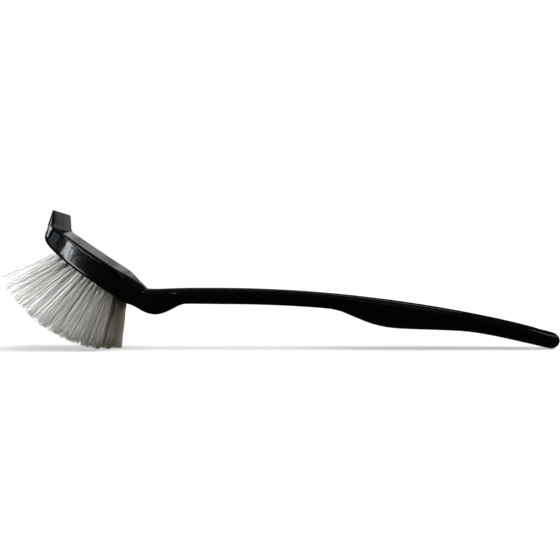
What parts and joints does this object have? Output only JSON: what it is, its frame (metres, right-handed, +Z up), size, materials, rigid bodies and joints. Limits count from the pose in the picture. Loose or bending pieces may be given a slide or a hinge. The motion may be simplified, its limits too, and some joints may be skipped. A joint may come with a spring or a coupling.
{
  "type": "wheel brush",
  "caption": "Long-handled wheel brush: a curved one-piece moulded handle and sloping head, a fan of stiff bristle tufts below and a scraper blade across the tip.",
  "frame": {"origin": "under the middle of the brush's outer box, on the table that the brush rests on with its rear tufts and the end of its handle", "axes": "+X from the head towards the end of the handle, +Z up, +Y across the head; the brush is symmetric about the XZ plane"},
  "size_m": [0.2928, 0.04, 0.0729],
  "materials": {
    "black_plastic": "gloss",
    "bristle_fibre": "satin",
    "anchor_wire": "satin"
  },
  "bodies": {
    "root": {"handle": "black_plastic", "tuft_row1_1": "bristle_fibre", "tuft_row1_2": "bristle_fibre", "tuft_row1_3": "bristle_fibre", "tuft_row1_4": "bristle_fibre", "tuft_row1_5": "bristle_fibre", "tuft_row1_6": "bristle_fibre", "tuft_row1_7": "bristle_fibre", "tuft_row1_8": "bristle_fibre", "tuft_row2_1": "bristle_fibre", "tuft_row2_2": "bristle_fibre", "tuft_row2_3": "bristle_fibre", "tuft_row2_4": "bristle_fibre", "tuft_row2_5": "bristle_fibre", "tuft_row2_6": "bristle_fibre", "tuft_row2_7": "bristle_fibre", "tuft_row2_8": "bristle_fibre", "tuft_row3_1": "bristle_fibre", "tuft_row3_2": "bristle_fibre", "tuft_row3_3": "bristle_fibre", "tuft_row3_4": "bristle_fibre", "tuft_row3_5": "bristle_fibre", "tuft_row3_6": "bristle_fibre", "tuft_row3_7": "bristle_fibre", "tuft_row3_8": "bristle_fibre", "tuft_row3_9": "bristle_fibre", "tuft_row4_1": "bristle_fibre", "tuft_row4_2": "bristle_fibre", "tuft_row4_3": "bristle_fibre", "tuft_row4_4": "bristle_fibre", "tuft_row4_5": "bristle_fibre", "tuft_row4_6": "bristle_fibre", "tuft_row4_7": "bristle_fibre", "tuft_row4_8": "bristle_fibre", "tuft_row5_1": "bristle_fibre", "tuft_row5_2": "bristle_fibre", "tuft_row5_3": "bristle_fibre", "tuft_row5_4": "bristle_fibre", "tuft_row5_5": "bristle_fibre", "tuft_row5_6": "bristle_fibre", "tuft_row5_7": "bristle_fibre", "tuft_row5_8": "bristle_fibre", "anchors_row1": "anchor_wire", "anchors_row2": "anchor_wire", "anchors_row3": "anchor_wire", "anchors_row4": "anchor_wire", "anchors_row5": "anchor_wire"}
  },
  "joints": []
}
